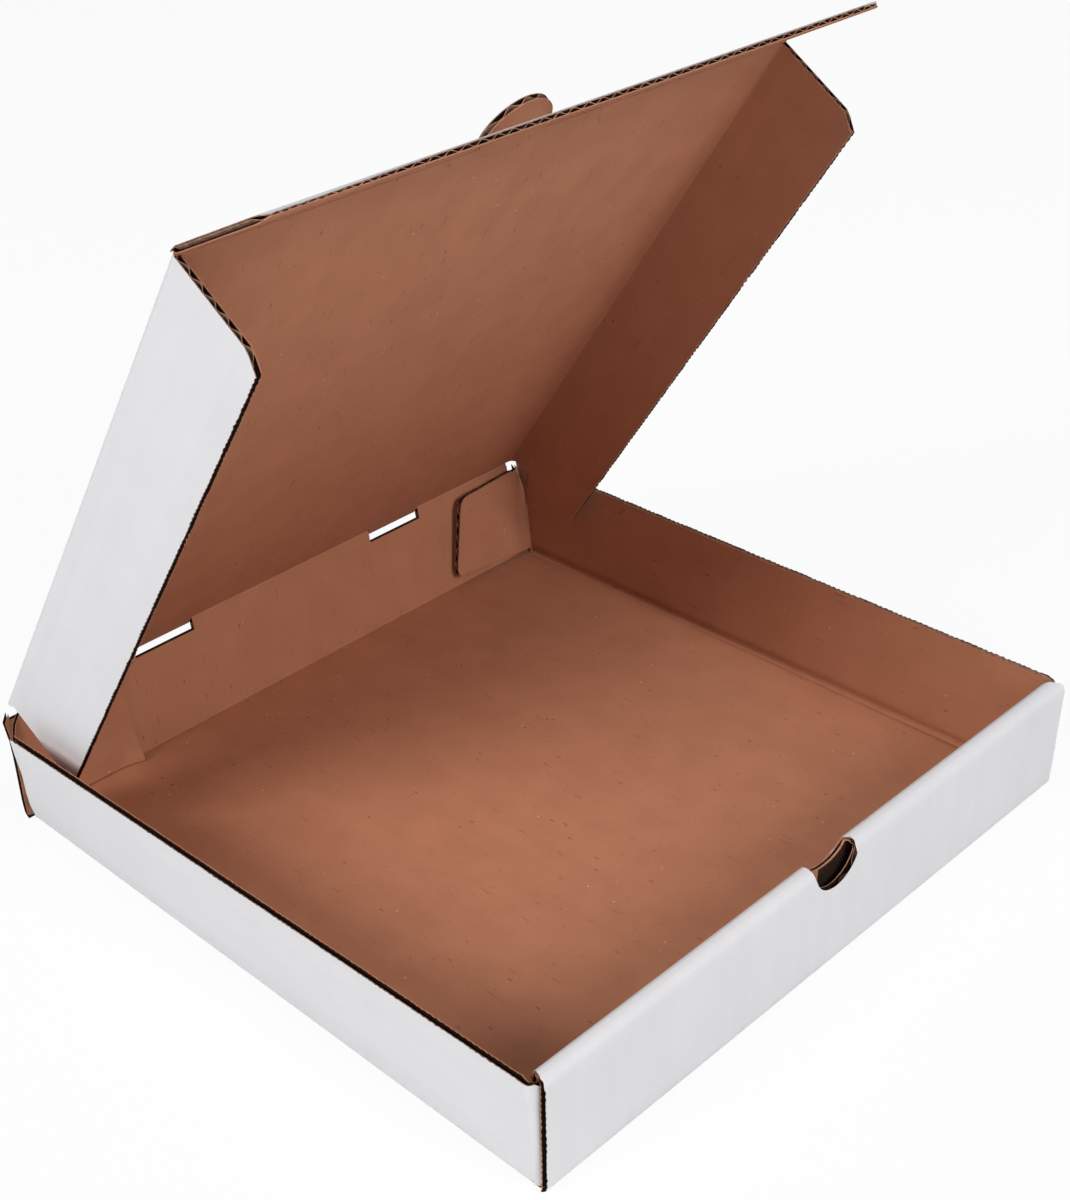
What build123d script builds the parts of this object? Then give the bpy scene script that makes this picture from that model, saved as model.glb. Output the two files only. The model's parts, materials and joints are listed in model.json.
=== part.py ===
from build123d import *
import os

# A pizza box folded from one sheet of corrugated board, with its lid standing open.
# X runs along the front wall, Y runs back to the hinge and Z is up. The origin is the
# middle of the underside. Lengths are in millimetres and angles in degrees.

# The board, and how close two layers or two moving panels lie
board = 2.6
layer_gap = 0.3
hinge_gap = 0.25
fold_radius = 1.7
overrun = 12.0

# The tray: its floor, and how far the top of each wall leans out
tray_width = 305.0
tray_depth = 308.0
wall_height = 50.3
left_front_lean = 4.7
left_rear_lean = 9.2
right_lean = 4.3
back_lean = 8.2

# The rolled-over front wall and its thumb notch
front_crease_height = 48.4
ridge_height = 49.7
ridge_inset = 4.5
notch_width = 25.2
notch_centre = 1.3
outer_notch_depth = 11.9
inner_notch_depth = 7.2

# The flaps folded in from the ends of the side walls
corner_flap_bottom = 4.0
front_corner_length = 47.5
back_corner_length = 55.0
back_corner_top = 48.7
back_corner_curve_width = 12.0
left_fold_top = 14.0
right_fold_top = 27.0
side_wall_setback = 11.0

# The hinge: its height, the slots in the back wall and the cut-outs at its two ends
hinge_height = 51.5
slot_width = 32.0
slot_depth = 6.4
slot_spacing = 137.5
slot_shift = -1.25
relief_width = 5.5
relief_depth = 6.0
ear_width = 2.0
ear_drop = 3.2

# The lid, with its side walls turned down and its hinge tabs
opening_angle = 55.4
lid_width = 299.0
lid_length = 293.0
lid_wall_depth = 47.0
lid_wall_front_cut = 5.0
lid_wall_front_cut_height = 7.5
lid_wall_back_gap = 0.5
lid_wall_back_step = 3.2
lid_wall_back_step_height = 2.6
lid_wall_back_slope = 3.8
hinge_tab_reach = 3.6

# The lid's front flap, its half-moon hole and the thumb tab that stands out of it
flap_length = 49.0
flap_bend = 33.6
flap_corner_radius = 6.0
thumb_tab_width = 33.0
thumb_tab_height = 17.0
thumb_tab_centre = -3.5

# Worked out from the sizes above
half_board = board / 2
front_face = -tray_depth / 2
front_roll_depth = 3 * board + 2 * layer_gap
inner_front_face = front_face + front_roll_depth
pivot_y = tray_depth / 2 - half_board + back_lean * hinge_height / wall_height
side_inner_face = tray_width / 2 - board


def back_shift(height):
    """How far the leaning back wall has moved back at a height."""
    return back_lean * height / wall_height


def across(section, half_width):
    """A section drawn in the YZ plane, run along X to both sides of the middle."""
    return extrude(section, amount=half_width, both=True)


def yz(*points):
    """A closed outline in the YZ plane from (y, z) pairs."""
    return make_face(Polyline(*[(0, y, z) for y, z in points], close=True))


def xz_prism(points, y_from, y_to):
    """A closed outline of (x, z) pairs, run along Y from one place to another."""
    outline = make_face(Polyline(*[(x, y_from, z) for x, z in points], close=True))
    return extrude(outline, amount=y_to - y_from, dir=(0, 1, 0))


def block(x_range, y_range, z_range):
    """A box between two places along each axis."""
    size = [high - low for low, high in (x_range, y_range, z_range)]
    middle = [(high + low) / 2 for low, high in (x_range, y_range, z_range)]
    return Pos(*middle) * Box(*size)


def half_moon(width, depth, thickness):
    """A half ellipse about the origin, in the XZ plane, that hangs down from X."""
    disc = Plane.XZ * Ellipse(width / 2, depth)
    upper = block((-width, width), (-thickness, thickness), (0, depth + overrun))
    return extrude(disc, amount=thickness / 2, both=True) - upper


def floor_and_long_walls():
    """The floor, the leaning back wall and the rolled-over front wall, as one bent strip."""
    outer_y = front_face + half_board
    inner_y = inner_front_face - half_board
    path = FilletPolyline(
        (0, inner_y, board + layer_gap),
        (0, inner_y, ridge_height - half_board),
        (0, outer_y, front_crease_height - half_board),
        (0, outer_y, half_board),
        (0, tray_depth / 2 - half_board + back_shift(half_board), half_board),
        (0, pivot_y, hinge_height),
        radius=fold_radius,
    )
    strip = across(trace_board(path), tray_width / 2)
    knuckle = Pos(0, pivot_y, hinge_height) * Rot(0, 90, 0) * Cylinder(half_board, tray_width)
    return strip + knuckle


def trace_board(path):
    """The board's thickness drawn along the middle line of its section."""
    local = Plane.YZ.to_local_coords(path)
    return Plane.YZ * trace(local, line_width=board)


def ridge_ends():
    """What is cut from the front wall's ends, so that the inner panel is narrower."""
    outer_x = tray_width / 2
    inner_x = outer_x - ridge_inset
    top = wall_height + overrun
    corners = [
        (outer_x, front_face),
        (inner_x, inner_front_face),
        (inner_x, inner_front_face + hinge_gap),
        (outer_x + overrun, inner_front_face + hinge_gap),
        (outer_x + overrun, front_face),
    ]
    outline = make_face(Polyline(*corners, close=True))
    upper = Pos(0, 0, front_crease_height - 2 * board) * extrude(outline, amount=top)
    lower_x = (inner_x, outer_x + overrun)
    lower_y = (inner_front_face - board - hinge_gap, inner_front_face + hinge_gap)
    right = upper + block(lower_x, lower_y, (board + layer_gap, top))
    return right + mirror(right, about=Plane.YZ)


def thumb_notch():
    """A deep half moon through the outer front panel and a shallow one through the inner."""
    middle_y = front_face + front_roll_depth / 2
    deep = half_moon(notch_width, outer_notch_depth, front_roll_depth)
    shallow = half_moon(notch_width, inner_notch_depth, front_roll_depth)
    half_width = notch_width / 2
    slot_x = (notch_centre - half_width, notch_centre + half_width)
    outer_y = (front_face - front_roll_depth / 2, middle_y)
    inner_y = (middle_y, inner_front_face + front_roll_depth / 2)
    cut = Pos(notch_centre, front_face, front_crease_height) * deep
    cut += Pos(notch_centre, inner_front_face, ridge_height) * shallow
    cut += block(slot_x, outer_y, (front_crease_height, wall_height + overrun))
    cut += block(slot_x, inner_y, (ridge_height, wall_height + overrun))
    return cut


def hinge_cuts():
    """The slots for the lid's tabs and the cut-outs at both ends of the back wall."""
    top = hinge_height + overrun
    y_range = (tray_depth / 2 - overrun / 2, pivot_y + overrun)
    cuts = []
    for side in (-1, 1):
        middle = slot_shift + side * slot_spacing / 2
        x_range = (middle - slot_width / 2, middle + slot_width / 2)
        cuts.append(block(x_range, y_range, (hinge_height - slot_depth, top)))
        end = tray_width / 2
        low = hinge_height - relief_depth
        ear = end - ear_width
        points = [
            (ear - relief_width, top),
            (ear - relief_width, low),
            (ear, low),
            (ear, hinge_height - ear_drop),
            (end, hinge_height - 2 * ear_drop),
            (end + overrun, hinge_height - 2 * ear_drop),
            (end + overrun, top),
        ]
        cuts.append(xz_prism([(side * x, z) for x, z in points], *y_range))
    return Part() + cuts


def side_section(side, height, front_lean, rear_lean):
    """A side wall and its two corner flaps, cut level at a height."""
    rise = height / wall_height
    front_y = front_face + board + layer_gap
    back_y = tray_depth / 2 - board - layer_gap + back_shift(height)
    front_x = tray_width / 2 + front_lean * rise
    back_x = tray_width / 2 + rear_lean * rise
    front_end = tray_width / 2 - front_corner_length
    back_end = tray_width / 2 - back_corner_length
    outer = [(front_end, front_y), (front_x, front_y), (back_x, back_y), (back_end, back_y)]
    inner = [
        (front_end, front_y + board),
        (front_x - board, front_y + board),
        (back_x - board, back_y - board),
        (back_end, back_y - board),
    ]
    outer = [(side * x, y) for x, y in outer]
    inner = [(side * x, y) for x, y in inner]
    outer_line = FilletPolyline(*outer, radius=fold_radius + half_board)
    inner_line = FilletPolyline(*inner, radius=fold_radius - half_board)
    ends = [Line(outer[0], inner[0]), Line(outer[-1], inner[-1])]
    return Pos(0, 0, height) * make_face([outer_line, inner_line, *ends])


def side_wall(side, front_lean, rear_lean, fold_top):
    """A leaning side wall, folded round at both ends into its corner flaps."""
    low = side_section(side, 0, front_lean, rear_lean)
    high = side_section(side, wall_height, front_lean, rear_lean)
    wall = loft([low, high], ruled=True)
    wall -= flap_undercuts(side)
    wall -= front_flap_top(side)
    wall -= back_flap_corner(side, fold_top)
    wall -= wall_back_edge(side, fold_top)
    return wall - wall_foot(side)


def sided(side, x_from, x_to):
    """A range along X on the left, where side is -1, or on the right."""
    return tuple(sorted((side * x_from, side * x_to)))


def flap_undercuts(side):
    """The slits that free both corner flaps from the floor."""
    x_range = sided(side, 0, side_inner_face)
    return block(x_range, (front_face, tray_depth / 2), (0, corner_flap_bottom))


def front_flap_top(side):
    """What is cut off so that the front corner flap ends below the rolled-over strip."""
    x_range = sided(side, 0, tray_width / 2)
    top = front_crease_height - board - layer_gap
    return block(x_range, (front_face, inner_front_face), (top, wall_height + overrun))


def back_flap_corner(side, fold_top):
    """The back flap's level top and the curve that sweeps from it to the fold."""
    fold_x = tray_width / 2 + back_corner_curve_width / 4
    curve_x = fold_x - back_corner_curve_width
    y_range = (tray_depth / 2 - 2 * board - layer_gap, tray_depth / 2 + back_lean + overrun)
    top = wall_height + overrun
    above = block(sided(side, 0, fold_x + overrun), y_range, (fold_top, top))
    kept_height = back_corner_top - fold_top
    ellipse = Plane.XZ * Ellipse(back_corner_curve_width, kept_height)
    quarter = Pos(side * curve_x, 0, fold_top) * extrude(ellipse, amount=tray_depth, both=True)
    free_end = tray_width / 2 - back_corner_length
    y_all = (0, tray_depth)
    kept = quarter + block(sided(side, free_end, curve_x), y_all, (fold_top, back_corner_top))
    return above - kept


def wall_back_edge(side, fold_top):
    """What is cut off behind a side wall's back edge, which slants forward as it rises."""
    foot_y = tray_depth / 2 - board - layer_gap
    top_y = foot_y - side_wall_setback * (wall_height - fold_top) / wall_height
    outline = yz(
        (foot_y, fold_top),
        (top_y, wall_height),
        (top_y, wall_height + overrun),
        (foot_y + back_lean + overrun, wall_height + overrun),
        (foot_y + back_lean + overrun, fold_top),
    )
    x_from = tray_width / 2
    return Pos(side * (x_from + overrun), 0, 0) * across(outline, overrun)


def wall_foot(side):
    """The square corner that is taken off where the side wall bends up from the floor."""
    radius = fold_radius + half_board
    middle_x = side * (tray_width / 2 - radius)
    corner = block(sided(side, tray_width / 2 - radius, tray_width / 2 + overrun),
                   (-tray_depth, tray_depth), (-overrun, radius))
    roll = Pos(middle_x, 0, radius) * Rot(90, 0, 0) * Cylinder(radius, 2 * tray_depth)
    return corner - roll


def tray():
    """The tray: floor, four walls and four corner flaps, in one piece."""
    body = floor_and_long_walls() - ridge_ends() - thumb_notch() - hinge_cuts()
    body -= wall_foot(-1)
    body -= wall_foot(1)
    body += side_wall(-1, left_front_lean, left_rear_lean, left_fold_top)
    body += side_wall(1, right_lean, right_lean, right_fold_top)
    return body


def in_lid(shape):
    """Places a shape drawn with the lid shut and its hinge at the origin."""
    return Pos(0, pivot_y, hinge_height) * Rot(-opening_angle, 0, 0) * shape


def lid_shell():
    """The lid's panel with both side walls turned down, as one bent section."""
    half_width = lid_width / 2 - half_board
    path = FilletPolyline(
        (-half_width, -lid_wall_depth),
        (-half_width, 0),
        (half_width, 0),
        (half_width, -lid_wall_depth),
        radius=fold_radius,
    )
    section = Plane.XZ * trace(path, line_width=board)
    start = half_board + hinge_gap
    length = lid_length - 2 * start
    return Pos(0, -start, 0) * extrude(section, amount=length)


def lid_wall_cuts():
    """What is trimmed off the ends of the lid's side walls."""
    under = -half_board
    front = -(lid_length - half_board - layer_gap)
    foot = -lid_wall_depth
    step_y = -(lid_wall_back_gap + half_board + lid_wall_back_step)
    back_cut = yz(
        (overrun, under),
        (-(lid_wall_back_gap + half_board), under),
        (step_y, under - lid_wall_back_step_height),
        (step_y - lid_wall_back_slope, foot),
        (step_y - lid_wall_back_slope, foot - overrun),
        (overrun, foot - overrun),
    )
    front_cut = yz(
        (front - overrun, under),
        (front, under),
        (front, foot + lid_wall_front_cut_height),
        (front + lid_wall_front_cut, foot),
        (front + lid_wall_front_cut, foot - overrun),
        (front - overrun, foot - overrun),
    )
    return across(back_cut, lid_width) + across(front_cut, lid_width)


def thumb_tab():
    """The half moon that stays in the lid's plane when the front flap is bent."""
    disc = Ellipse(thumb_tab_width / 2, thumb_tab_height)
    root = (-lid_length, -(lid_length - half_board - 2 * hinge_gap))
    x_range = (-thumb_tab_width / 2, thumb_tab_width / 2)
    ahead = block((-lid_length, lid_length), (0, lid_length), (-board, board))
    moon = Pos(0, -lid_length, 0) * (extrude(disc, amount=half_board, both=True) - ahead)
    tab = moon + block(x_range, root, (-half_board, half_board))
    return Pos(thumb_tab_centre, 0, 0) * tab


def hinge_tabs():
    """The two tabs that stand back past the hinge, in the back wall's slots."""
    tabs = []
    half_width = slot_width / 2 - layer_gap
    for side in (-1, 1):
        middle = slot_shift + side * slot_spacing / 2
        x_range = (middle - half_width, middle + half_width)
        y_range = (-(half_board + 2 * hinge_gap), hinge_tab_reach)
        tabs.append(block(x_range, y_range, (-half_board, half_board)))
    return tabs


def lid():
    """The lid with its side walls, thumb tab and hinge tabs, in one piece."""
    return in_lid(lid_shell() - lid_wall_cuts() + thumb_tab() + hinge_tabs())


def front_flap():
    """The flap on the lid's front edge, round along its fold and with its half-moon hole."""
    half_width = lid_width / 2
    plate = block((-half_width, half_width), (-flap_length, 0), (-half_board, half_board))
    corners = plate.edges().filter_by(Axis.Z).group_by(Axis.Y)[0]
    plate = fillet(corners, flap_corner_radius)
    knuckle = Rot(0, 90, 0) * Cylinder(half_board, lid_width)
    hole_width = thumb_tab_width + 2 * layer_gap
    hole = extrude(Ellipse(hole_width / 2, thumb_tab_height + layer_gap), amount=board, both=True)
    flap = plate + knuckle - Pos(thumb_tab_centre, 0, 0) * hole
    return in_lid(Pos(0, -lid_length, 0) * Rot(flap_bend, 0, 0) * flap)


os.makedirs("parts", exist_ok=True)
for name, piece in (("tray", tray()), ("lid", lid()), ("front_flap", front_flap())):
    export_step(piece, f"parts/{name}.step")
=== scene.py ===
"""An open pizza box of corrugated board, brown inside and white outside.

The box is drawn as what it is: one bent sheet of outer paper, fluting and inner paper, so that every
cut edge shows the open flutes between its two papers. Everything is in metres in the CAD frame.
"""

import json
import logging
import math
from collections.abc import Callable, Sequence
from dataclasses import dataclass, field
from enum import Enum

import bpy
import numpy as np
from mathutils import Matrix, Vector


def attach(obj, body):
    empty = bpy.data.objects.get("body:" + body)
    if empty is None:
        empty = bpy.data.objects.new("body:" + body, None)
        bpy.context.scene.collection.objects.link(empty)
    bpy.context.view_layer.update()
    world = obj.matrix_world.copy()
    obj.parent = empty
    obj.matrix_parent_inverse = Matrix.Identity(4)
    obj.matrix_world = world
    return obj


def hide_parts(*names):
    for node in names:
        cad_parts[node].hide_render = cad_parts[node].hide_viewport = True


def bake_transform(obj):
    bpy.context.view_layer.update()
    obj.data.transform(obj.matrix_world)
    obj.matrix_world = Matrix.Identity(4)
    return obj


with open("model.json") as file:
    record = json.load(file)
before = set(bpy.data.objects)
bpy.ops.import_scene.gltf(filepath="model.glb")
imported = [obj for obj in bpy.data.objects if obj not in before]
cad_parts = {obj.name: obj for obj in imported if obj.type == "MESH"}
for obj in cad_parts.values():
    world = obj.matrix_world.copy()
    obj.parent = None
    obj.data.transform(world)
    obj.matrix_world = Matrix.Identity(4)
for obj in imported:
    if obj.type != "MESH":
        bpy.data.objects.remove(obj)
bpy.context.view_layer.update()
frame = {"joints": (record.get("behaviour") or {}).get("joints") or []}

MM = 0.001
WELD = 0.002 * MM
JUMP = 0.002 * MM
FINE_STEP = 0.7 * MM
SAME = 1e-6
ROUNDING = 1e-9
ARC_STEPS = 8
SHARP_ANGLE = math.radians(38)
NOISE_KNOTS = 4096
NOISE_START = 1000.0
OUTER_SEED = 10
INNER_SEED = 20
Array = np.ndarray
Place = Callable[[Array, Array], tuple[Array, Array]]
Limit = Callable[[Array], Array]
Amount = Callable[[Array, Array], Array]
Pair = tuple[float, float]
Point = tuple[float, float, float]
Colour = tuple[float, float, float, float]
LOG = logging.getLogger("pizza_box")


class Face(Enum):
    """Which paper face a polygon shows, as its place in the piece's material list."""

    SKIN = 0
    RAW = 1
    # PAINTED_SHADE is painted shade: a near-black finish for faces that sit only in the dark, between the
    # flutes and in the front wall's cavity.
    PAINTED_SHADE = 2


class Side(Enum):
    """The two sides of the tray, as the sign of X there."""

    LEFT = -1
    RIGHT = 1


class Edge(Enum):
    """The nibbled edges, each as the seed of its teeth."""

    CLEAN = 0
    LEFT_WALL = 100
    INNER_PANEL_LEFT = 101
    INNER_PANEL_RIGHT = 103
    STRIP_LEFT = 111
    STRIP_RIGHT = 113
    RIGHT_WALL = 140
    LID_LEFT = 201
    LID_RIGHT = 211
    FLAP_LEFT = 301
    FLAP_RIGHT = 311


@dataclass(frozen=True)
class Board:
    """Corrugated board: two papers with a wave of fluting between them."""

    thickness: float = 2.6 * MM
    paper: float = 0.34 * MM
    medium: float = 0.24 * MM
    pitch: float = 6.9 * MM
    fold_radius: float = 1.7 * MM
    layer_gap: float = 0.3 * MM
    steps_a_wave: int = 10

    @property
    def half(self) -> float:
        """Half of the board's thickness."""
        return self.thickness / 2

    @property
    def wave(self) -> float:
        """How far the fluting's middle swings from the board's middle."""
        return self.half - self.paper - self.medium / 2


BOARD = Board()


class BentLine:
    """A line in a plane, straight between its corners and round at them.

    A place on it is a length from its start. The line is kept as a table of points and headings,
    and anything between two rows of the table is interpolated.
    """

    def __init__(self, corners: Sequence[Pair], radius: float) -> None:
        """Works out the table, with ARC_STEPS chords in place of each turn.

        Args:
            corners: the points that the line turns at, with its two ends.
            radius: the radius of every turn.
        """
        pts = np.array(corners, float)
        runs = np.diff(pts, axis=0)
        heading = np.unwrap(np.arctan2(runs[:, 1], runs[:, 0]))
        table = [(pts[0], heading[0])]
        for i in range(1, len(pts) - 1):
            turn = heading[i] - heading[i - 1]
            set_back = radius * math.tan(abs(turn) / 2)
            ahead = np.array([math.cos(heading[i - 1]), math.sin(heading[i - 1])])
            left = np.array([-ahead[1], ahead[0]]) * math.copysign(1.0, turn)
            start = pts[i] - ahead * set_back
            centre = start + left * radius
            for k in range(ARC_STEPS + 1):
                way = heading[i - 1] + turn * k / ARC_STEPS
                out = np.array([math.sin(way), -math.cos(way)]) * math.copysign(1.0, turn)
                table.append((centre + out * radius, way))
        table.append((pts[-1], heading[-1]))
        self.points = np.array([row[0] for row in table])
        self.heading = np.array([row[1] for row in table])
        steps = np.linalg.norm(np.diff(self.points, axis=0), axis=1)
        self.length = np.concatenate([[0.0], np.cumsum(steps)])

    @property
    def total(self) -> float:
        """The line's whole length."""
        return float(self.length[-1])

    @property
    def bends(self) -> Array:
        """The lengths at the ends of each turn's chords, a row for each turn."""
        return self.length[1:-1].reshape(-1, ARC_STEPS + 1)

    def at(self, where: Array) -> tuple[Array, Array, Array]:
        """The points and headings at some lengths.

        Args:
            where: lengths from the line's start.

        Returns:
            The first coordinate, the second coordinate and the heading, each in where's shape.
        """
        across = np.interp(where, self.length, self.points[:, 0])
        along = np.interp(where, self.length, self.points[:, 1])
        return across, along, np.interp(where, self.length, self.heading)

    def stations(self, low: float, high: float, step: float) -> Array:
        """Lengths to sample between two places: every bend, and no straight gap over a step.

        Args:
            low: the first length.
            high: the last length.
            step: the widest gap between two samples.

        Returns:
            The sorted lengths.
        """
        inside = self.length[(self.length > low + SAME) & (self.length < high - SAME)]
        return spaced(np.concatenate([[low], inside, [high]]), step)


def spaced(stops: Array, step: float) -> Array:
    """Splits each gap between sorted stops into equal gaps no wider than a step.

    Args:
        stops: the lengths that are kept.
        step: the widest gap.

    Returns:
        The stops and the lengths between them.
    """
    counts = np.maximum(1, np.ceil(np.diff(stops) / step - ROUNDING)).astype(int)
    parts = [np.linspace(a, b, n, endpoint=False) for a, b, n in zip(stops[:-1], stops[1:], counts)]
    return np.concatenate(parts + [stops[-1:]])


def run(low: float, high: float, step: float) -> Array:
    """Lengths from low to high, with equal gaps no wider than a step."""
    return spaced(np.array([low, high]), step)


def columns(pairs: Sequence[Pair]) -> tuple[Array, Array]:
    """The first and the second numbers of pairs in millimetres, as metres."""
    first, second = np.array(pairs).T * MM
    return first, second


def with_steps(samples: Array, steps: Sequence[float], fine: Sequence[Pair] = ()) -> Array:
    """Adds to sorted samples a close pair at each jump of an outline, and a fine run over curves.

    Args:
        samples: the lengths across the flutes that are there already.
        steps: where the outline jumps.
        fine: the ranges where the outline is curved.

    Returns:
        All the lengths, sorted.
    """
    extra = [np.array([s - JUMP, s + JUMP]) for s in steps]
    extra += [np.linspace(a, b, max(2, int((b - a) / FINE_STEP))) for a, b in fine]
    everything = np.concatenate([samples, *extra])
    return np.unique(everything[(everything >= samples[0]) & (everything <= samples[-1])])


def smooth_noise(where: Array, size: float, seed: int) -> Array:
    """Seeded noise along a line, from -1 to 1: random knots a size apart, joined by cosines.

    Args:
        where: the lengths along the line.
        size: the gap between two knots.
        seed: which noise it is.

    Returns:
        The noise at each length.
    """
    knots = np.random.default_rng(seed).uniform(-1.0, 1.0, NOISE_KNOTS)
    place = where / size + NOISE_START
    cell = np.floor(place).astype(int)
    share = 0.5 - 0.5 * np.cos(np.pi * (place - cell))
    return knots[cell % NOISE_KNOTS] * (1 - share) + knots[(cell + 1) % NOISE_KNOTS] * share


def bell(where: Array, width: float) -> Array:
    """A bell curve of height 1 round 0, which is down to a third at a width."""
    return np.exp(-((where / width) ** 2))


@dataclass(frozen=True)
class CutEdge:
    """A cut paper edge, nibbled back in teeth that are uneven in pitch and in depth, with a fuzz.

    The wander is how far a tooth strays, as a share of the pitch, and the wander and the depth
    each change over a number of pitches.
    """

    depth: float = 0.75 * MM
    pitch: float = 2.7 * MM
    wander: float = 0.35
    wander_pitches: float = 3.1
    mean_share: float = 0.6
    uneven_share: float = 0.4
    uneven_pitches: float = 1.7
    fuzz_share: float = 0.16
    fuzz_size: float = 0.6 * MM

    def teeth(self, where: Array, seed: int) -> Array:
        """How far the edge is nibbled back at each length along it.

        A triangle wave of the length over the pitch, times an uneven share, plus the fuzz, all
        times the depth.

        Args:
            where: the lengths along the edge.
            seed: which edge it is.

        Returns:
            The depths of the cut.
        """
        stray = smooth_noise(where, self.wander_pitches * self.pitch, seed)
        phase = where / self.pitch + self.wander * stray
        wave = np.abs(2 * (phase - np.floor(phase)) - 1)
        change = smooth_noise(where, self.uneven_pitches * self.pitch, seed + 1)
        uneven = self.mean_share + self.uneven_share * change
        fuzz = self.fuzz_share * np.abs(smooth_noise(where, self.fuzz_size, seed + 2))
        return self.depth * (wave * uneven + fuzz)


CUT_EDGE = CutEdge()


class Pile:
    """Closed slabs collected for one piece, welded where they meet and opened between them."""

    def __init__(self) -> None:
        """Starts empty."""
        self.points: list[Array] = []
        self.uvs: list[Array] = []
        self.faces: list[Array] = []
        self.kinds: list[Array] = []
        self.count = 0

    def slab(self, top: Array, bottom: Array, uv: Array, skin: Face = Face.SKIN,
             under: Face = Face.PAINTED_SHADE, rim: Face = Face.RAW) -> None:
        """Adds the closed slab between two grids of points.

        Args:
            top: a grid of points, rows by columns by 3.
            bottom: the grid on the other side, with the same rows and columns.
            uv: a grid of two lengths on the sheet.
            skin: which face the top shows.
            under: which face the bottom shows, by default the near-black painted shade between the
                flutes.
            rim: which face the four rims show.
        """
        rows, cols = top.shape[:2]
        index = np.arange(rows * cols).reshape(rows, cols) + self.count
        quads = np.stack([index[:-1, :-1], index[1:, :-1], index[1:, 1:], index[:-1, 1:]], -1)
        middle = (rows // 2, cols // 2)
        down = top[min(middle[0] + 1, rows - 1), middle[1]] - top[middle[0] - 1, middle[1]]
        right = top[middle[0], min(middle[1] + 1, cols - 1)] - top[middle[0], middle[1] - 1]
        outward = top[middle] - bottom[middle]
        flip = float(np.dot(np.cross(down, right), outward)) < 0
        upper = quads.reshape(-1, 4)
        under_quads = upper[:, ::-1] + rows * cols
        loop = np.concatenate([index[:-1, 0], index[-1, :-1], index[:0:-1, -1], index[0, :0:-1]])
        ring = np.stack([loop, np.roll(loop, -1)], 1)
        below = ring + rows * cols
        rims = np.stack([ring[:, 1], ring[:, 0], below[:, 0], below[:, 1]], 1)
        faces = np.concatenate([upper, under_quads, rims])
        if flip:
            faces = faces[:, ::-1]
        self.faces.append(faces)
        sizes = ((len(upper), skin), (len(under_quads), under), (len(rims), rim))
        self.kinds.append(np.concatenate([np.full(n, f.value) for n, f in sizes]))
        self.points += [top.reshape(-1, 3), bottom.reshape(-1, 3)]
        self.uvs += [uv.reshape(-1, 2)] * 2
        self.count += 2 * index.size

    def mesh(self, name: str) -> bpy.types.Mesh:
        """Welds the slabs and makes the mesh.

        Points nearer than a micrometre become one, a face that shrinks to a line goes, and where
        two slabs meet over the same face both copies of it go, so that the slabs become one shell.

        Args:
            name: the mesh's name.

        Returns:
            The mesh, with a UV map of lengths on the sheet.
        """
        points = np.concatenate(self.points)
        faces = np.concatenate(self.faces)
        kinds = np.concatenate(self.kinds)
        uvs = np.concatenate(self.uvs)[faces]
        keys = np.round(points / WELD).astype(np.int64)
        _, first, weld = np.unique(keys, axis=0, return_index=True, return_inverse=True)
        welded = weld.reshape(-1)[faces]
        repeats = welded == np.roll(welded, -1, axis=1)
        sides = 4 - repeats.sum(1)
        ordered = np.sort(welded, 1)
        _, back, counts = np.unique(ordered, axis=0, return_inverse=True, return_counts=True)
        keep = (sides >= 3) & (counts[back.reshape(-1)] == 1)
        keep &= ~((welded[:, 0] == welded[:, 2]) | (welded[:, 1] == welded[:, 3]))
        kept, drop, mats = welded[keep], repeats[keep], kinds[keep]
        used = ~drop
        totals = used.sum(1)
        corners = kept[used]
        mesh = bpy.data.meshes.new(name)
        real, small = np.unique(corners, return_inverse=True)
        mesh.vertices.add(len(real))
        mesh.vertices.foreach_set("co", points[first[real]].astype(np.float32).ravel())
        mesh.loops.add(len(corners))
        mesh.loops.foreach_set("vertex_index", small.reshape(-1).astype(np.int32))
        mesh.polygons.add(len(totals))
        starts = np.concatenate([[0], np.cumsum(totals)[:-1]]).astype(np.int32)
        mesh.polygons.foreach_set("loop_start", starts)
        mesh.polygons.foreach_set("material_index", mats.astype(np.int32))
        mesh.uv_layers.new(name="sheet")
        mesh.uv_layers["sheet"].data.foreach_set("uv", uvs[keep][used].astype(np.float32).ravel())
        mesh.update(calc_edges=True)
        mesh.validate()
        mesh.polygons.foreach_set("use_smooth", np.ones(len(mesh.polygons), bool))
        mesh.set_sharp_from_angle(angle=SHARP_ANGLE)
        return mesh


@dataclass
class Layers:
    """The three layers of one body's board, collected as its sheets are laid."""

    outer: Pile = field(default_factory=Pile)
    inner: Pile = field(default_factory=Pile)
    fluting: Pile = field(default_factory=Pile)


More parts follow.
